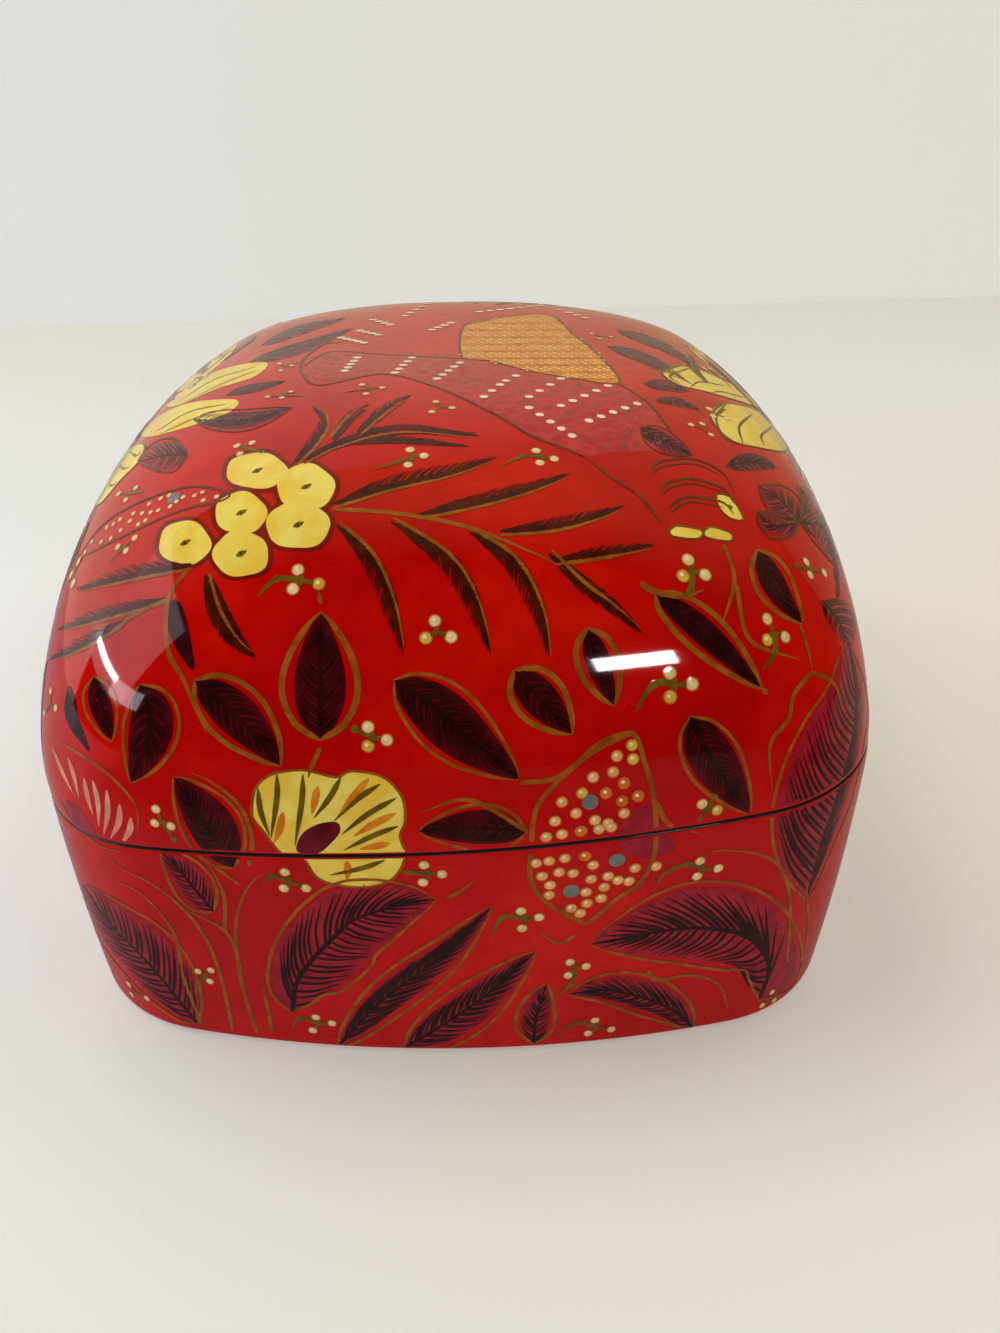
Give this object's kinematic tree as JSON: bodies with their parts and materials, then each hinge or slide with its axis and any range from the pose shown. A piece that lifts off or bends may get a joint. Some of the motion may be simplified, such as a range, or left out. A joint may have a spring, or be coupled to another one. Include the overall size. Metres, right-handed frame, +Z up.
{
  "type": "papier mache box",
  "caption": "Kashmiri papier mache box: red lacquered cushion-shaped keepsake box with painted flowers and leaves and a lift-off lid on a locating strip.",
  "frame": {"origin": "middle of the flat underside, on the surface that the box stands on", "axes": "+Z up, +Y along the length of the box, +X across it; the pictured end faces -Y"},
  "size_m": [0.09, 0.1152, 0.056],
  "materials": {
    "red_lacquer": "gloss",
    "black_lacquer": "satin"
  },
  "bodies": {
    "base": {"base_shell": "red_lacquer", "locating_strip": "black_lacquer"},
    "lid": {"lid_shell": "red_lacquer"}
  },
  "joints": [
    {"name": "lid_lift", "type": "slide", "parent": "base", "child": "lid", "axis": [0, 0, 1], "range_m": [0, 0.06]}
  ]
}
